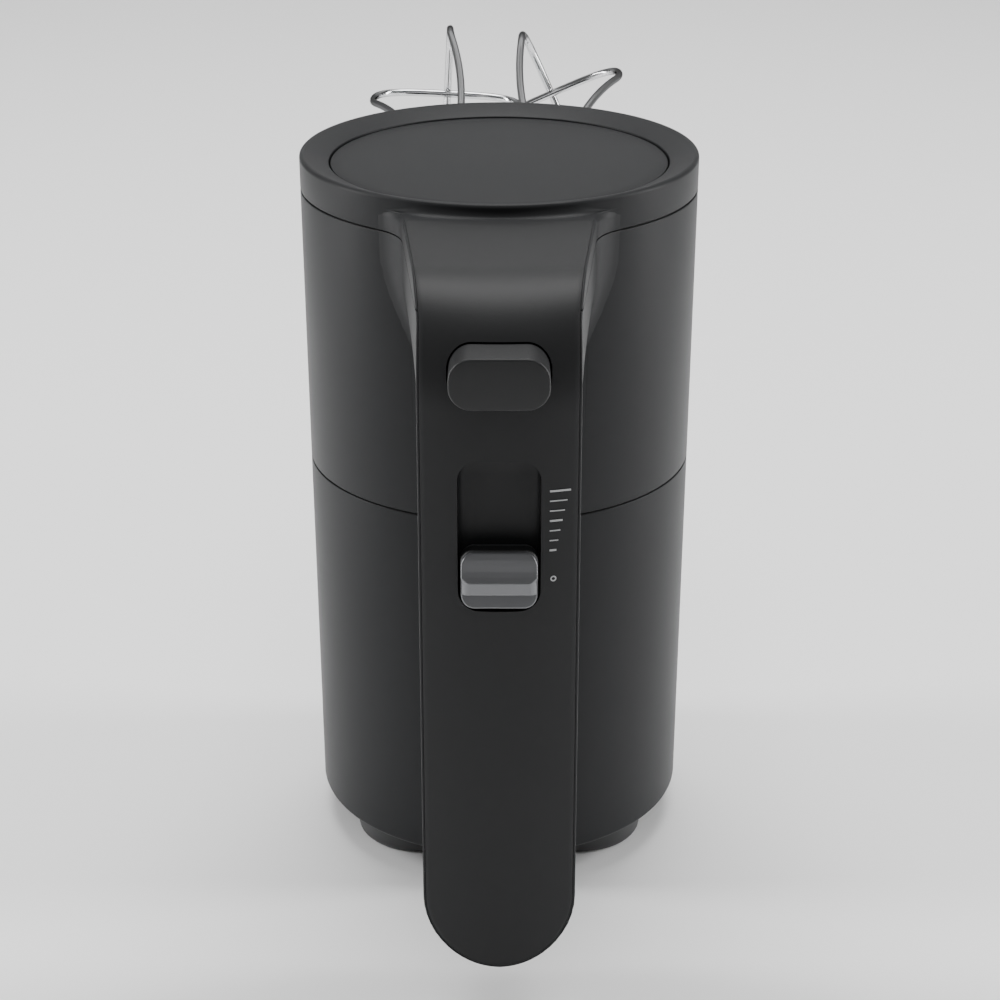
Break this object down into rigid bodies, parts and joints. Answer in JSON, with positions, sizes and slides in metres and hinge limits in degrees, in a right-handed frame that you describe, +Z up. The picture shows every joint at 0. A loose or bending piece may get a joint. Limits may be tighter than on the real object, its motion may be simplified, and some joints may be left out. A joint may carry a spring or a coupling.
{
  "type": "hand mixer",
  "caption": "Cordless hand mixer: upright cylindrical body, grip on a neck behind it, twisted wire beaters, speed slider, eject button and slide-out battery pack.",
  "frame": {"origin": "centre of the flat underside of the battery pack's base, on the body's axis, where the mixer stands on its heel", "axes": "+Z up along the body's axis, +Y towards the beaters, -Y towards the grip, +X to the right seen from the grip's side"},
  "size_m": [0.09, 0.2849, 0.167],
  "materials": {
    "body_shell": "fine matte moulded, charcoal",
    "handle_cover": "fine matte moulded, charcoal",
    "front_cap": "fine matte moulded, charcoal",
    "speed_knob": "satin grey",
    "eject_button": "fine matte moulded",
    "foot": "matte, near black",
    "beater_steel": "polished stainless",
    "inner_plastic": "plain moulded black",
    "steel": "machined",
    "spring_steel": "drawn wire",
    "gear_nylon": "natural",
    "brass": "machined",
    "copper": "turned copper",
    "magnet": "sintered",
    "circuit_board": "solder mask",
    "cell_wrap": "heat-shrink film",
    "red_insulation": "smooth",
    "black_insulation": "smooth"
  },
  "bodies": {
    "housing": {"rear_housing": "body_shell", "front_housing": "body_shell", "nose_ring": "body_shell", "front_cap": "front_cap", "handle_cover": "handle_cover", "rear_screw_right": "steel", "rear_screw_front": "steel", "rear_screw_left": "steel", "rear_screw_back": "steel", "speed_board": "circuit_board", "terminal_block": "inner_plastic", "control_board": "circuit_board", "red_lead": "red_insulation", "black_lead": "black_insulation", "motor_can": "steel", "motor_end_cap": "inner_plastic", "magnet_left": "magnet", "magnet_right": "magnet", "gearbox_frame": "inner_plastic", "gearbox_cover": "inner_plastic", "top_bearing": "steel", "left_front_bush": "brass", "left_rear_bush": "brass", "left_socket_collar": "inner_plastic", "right_front_bush": "brass", "right_rear_bush": "brass", "right_socket_collar": "inner_plastic"},
    "rotor": {"motor_shaft": "steel", "rotor_core": "steel", "commutator": "copper", "worm": "brass"},
    "left_drive": {"left_spindle": "steel", "left_worm_wheel": "gear_nylon"},
    "left_ejector": {"left_eject_pin": "steel"},
    "left_beater": {"left_beater_shaft": "beater_steel", "left_beater_hub": "beater_steel", "left_outer_wire": "beater_steel", "left_inner_wire": "beater_steel"},
    "right_drive": {"right_spindle": "steel", "right_worm_wheel": "gear_nylon"},
    "right_ejector": {"right_eject_pin": "steel"},
    "right_beater": {"right_beater_shaft": "beater_steel", "right_beater_hub": "beater_steel", "right_outer_wire": "beater_steel", "right_inner_wire": "beater_steel"},
    "eject_control": {"eject_button": "eject_button", "eject_slider": "inner_plastic", "eject_spring": "spring_steel"},
    "speed_control": {"speed_knob": "speed_knob", "speed_wiper": "inner_plastic"},
    "battery_pack": {"battery_base": "foot", "battery_case": "inner_plastic", "cell_left": "cell_wrap", "cell_middle": "cell_wrap", "cell_right": "cell_wrap"},
    "battery_latch": {"latch_button": "inner_plastic", "latch_spring": "spring_steel"}
  },
  "joints": [
    {"name": "motor_spin", "type": "hinge", "parent": "housing", "child": "rotor", "pos_m": [0, 0, 0.1367], "axis": [0, 0, 1], "continuous": true},
    {"name": "left_beater_spin", "type": "hinge", "parent": "housing", "child": "left_drive", "pos_m": [-0.0155, 0, 0.1367], "axis": [0, 1, 0], "continuous": true},
    {"name": "right_beater_spin", "type": "hinge", "parent": "housing", "child": "right_drive", "pos_m": [0.0155, 0, 0.1367], "axis": [0, 1, 0], "continuous": true},
    {"name": "eject_press", "type": "slide", "parent": "housing", "child": "eject_control", "axis": [0, 1, 0], "range_m": [0, 0.005], "stiffness_N_per_m": 500, "springref_m": -0.003, "deforming": ["eject_spring"]},
    {"name": "left_eject", "type": "slide", "parent": "left_drive", "child": "left_ejector", "axis": [0, 1, 0], "range_m": [0, 0.005]},
    {"name": "right_eject", "type": "slide", "parent": "right_drive", "child": "right_ejector", "axis": [0, 1, 0], "range_m": [0, 0.005]},
    {"name": "left_beater_pull", "type": "slide", "parent": "left_ejector", "child": "left_beater", "axis": [0, 1, 0], "range_m": [0, 0.045]},
    {"name": "right_beater_pull", "type": "slide", "parent": "right_ejector", "child": "right_beater", "axis": [0, 1, 0], "range_m": [0, 0.045]},
    {"name": "speed_slide", "type": "slide", "parent": "housing", "child": "speed_control", "axis": [0, 0, 1], "range_m": [0, 0.018]},
    {"name": "battery_slide", "type": "slide", "parent": "housing", "child": "battery_pack", "axis": [0, 0, -1], "range_m": [0, 0.085]},
    {"name": "latch_press", "type": "slide", "parent": "housing", "child": "battery_latch", "axis": [0, -1, 0], "range_m": [0, 0.0025], "stiffness_N_per_m": 400, "springref_m": -0.003, "deforming": ["latch_spring"]}
  ],
  "couplings": [
    {"joint": "left_beater_spin", "follows": "motor_spin", "ratio": 0.083333},
    {"joint": "right_beater_spin", "follows": "motor_spin", "ratio": -0.083333},
    {"joint": "left_eject", "follows": "eject_press", "ratio": 1},
    {"joint": "right_eject", "follows": "eject_press", "ratio": 1}
  ]
}
